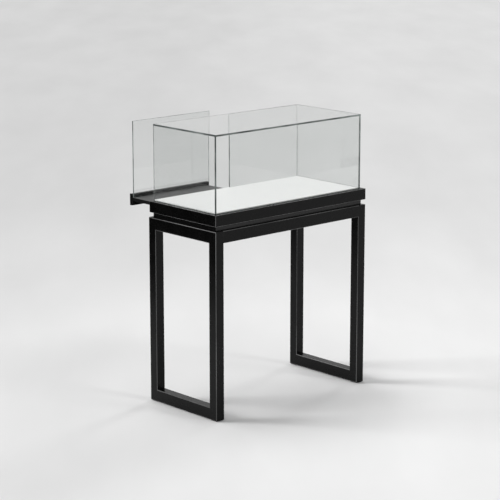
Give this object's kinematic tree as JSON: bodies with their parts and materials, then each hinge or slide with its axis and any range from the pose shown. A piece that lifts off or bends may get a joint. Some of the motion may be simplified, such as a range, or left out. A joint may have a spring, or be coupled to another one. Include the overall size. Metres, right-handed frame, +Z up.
{
  "type": "pedestal display case",
  "caption": "Glass-topped display case on an open steel stand, with a shadow-gap plinth and a pull-out glass door on a tray at the back.",
  "frame": {"origin": "on the floor, under the middle of the plan with the door drawn out as stored", "axes": "+Z up, +X to the right seen from the front, -Y the front with the whole pane, +Y the back with the door"},
  "size_m": [0.8, 0.5088, 1.104],
  "materials": {
    "black_coat": "satin powder coat",
    "black_board": "lacquered board, satin black",
    "white_board": "matt white laminate",
    "glass": "clear float glass with polished edges",
    "zinc": "bright zinc plate",
    "chrome": "polished",
    "rubber": "matt",
    "tape": "black foam bonding tape"
  },
  "bodies": {
    "stand": {"leg_front_left": "black_coat", "leg_rear_left": "black_coat", "leg_front_right": "black_coat", "leg_rear_right": "black_coat", "bottom_rail_left": "black_coat", "bottom_rail_right": "black_coat", "top_rail_left": "black_coat", "top_rail_right": "black_coat", "apron_front": "black_coat", "apron_rear": "black_coat", "floor_pad_front_left": "rubber", "floor_pad_rear_left": "rubber", "floor_pad_front_right": "rubber", "floor_pad_rear_right": "rubber", "plinth_front": "black_board", "plinth_rear": "black_board", "plinth_left": "black_board", "plinth_right": "black_board", "case_bolt_front_left": "zinc", "case_bolt_rear_left": "zinc", "case_bolt_front_right": "zinc", "case_bolt_rear_right": "zinc", "casing_bottom": "black_coat", "casing_front": "black_coat", "casing_left": "black_coat", "casing_right": "black_coat", "casing_rear": "black_coat", "deck_sheet": "black_coat", "rib_middle": "black_coat", "rib_right": "black_coat", "deck_board": "white_board", "glass_front": "glass", "glass_left": "glass", "glass_right": "glass", "glass_rear": "glass", "glass_top": "glass", "slide_angle_left": "zinc", "slide_outer_left": "zinc", "slide_outer_right": "zinc"},
    "door": {"tray": "black_board", "fascia": "black_board", "door_glass": "glass", "glass_tape": "tape", "slide_inner_left": "zinc", "slide_inner_right": "zinc", "runner_angle_left": "zinc", "runner_angle_right": "zinc", "runner_screw_front_left": "zinc", "runner_screw_rear_left": "zinc", "runner_screw_front_right": "zinc", "runner_screw_rear_right": "zinc", "fascia_screw_left": "zinc", "fascia_screw_right": "zinc", "lock_housing": "chrome", "lock_nut": "chrome"},
    "middle_member_left": {"slide_middle_left": "zinc"},
    "middle_member_right": {"slide_middle_right": "zinc"},
    "lock": {"lock_plug": "chrome", "lock_cam": "zinc", "cam_screw": "zinc"}
  },
  "joints": [
    {"name": "door_slide", "type": "slide", "parent": "stand", "child": "door", "axis": [0, 1, 0], "range_m": [-0.104, 0.056]},
    {"name": "slide_middle_left_run", "type": "slide", "parent": "stand", "child": "middle_member_left", "axis": [0, 1, 0], "range_m": [-0.052, 0.028]},
    {"name": "slide_middle_right_run", "type": "slide", "parent": "stand", "child": "middle_member_right", "axis": [0, 1, 0], "range_m": [-0.052, 0.028]},
    {"name": "lock_turn", "type": "hinge", "parent": "door", "child": "lock", "pos_m": [-0.2005, 0.2403, 0.7785], "axis": [0, 1, 0], "range_deg": [0, 90]}
  ],
  "couplings": [
    {"joint": "slide_middle_left_run", "follows": "door_slide", "ratio": 0.5},
    {"joint": "slide_middle_right_run", "follows": "door_slide", "ratio": 0.5}
  ]
}
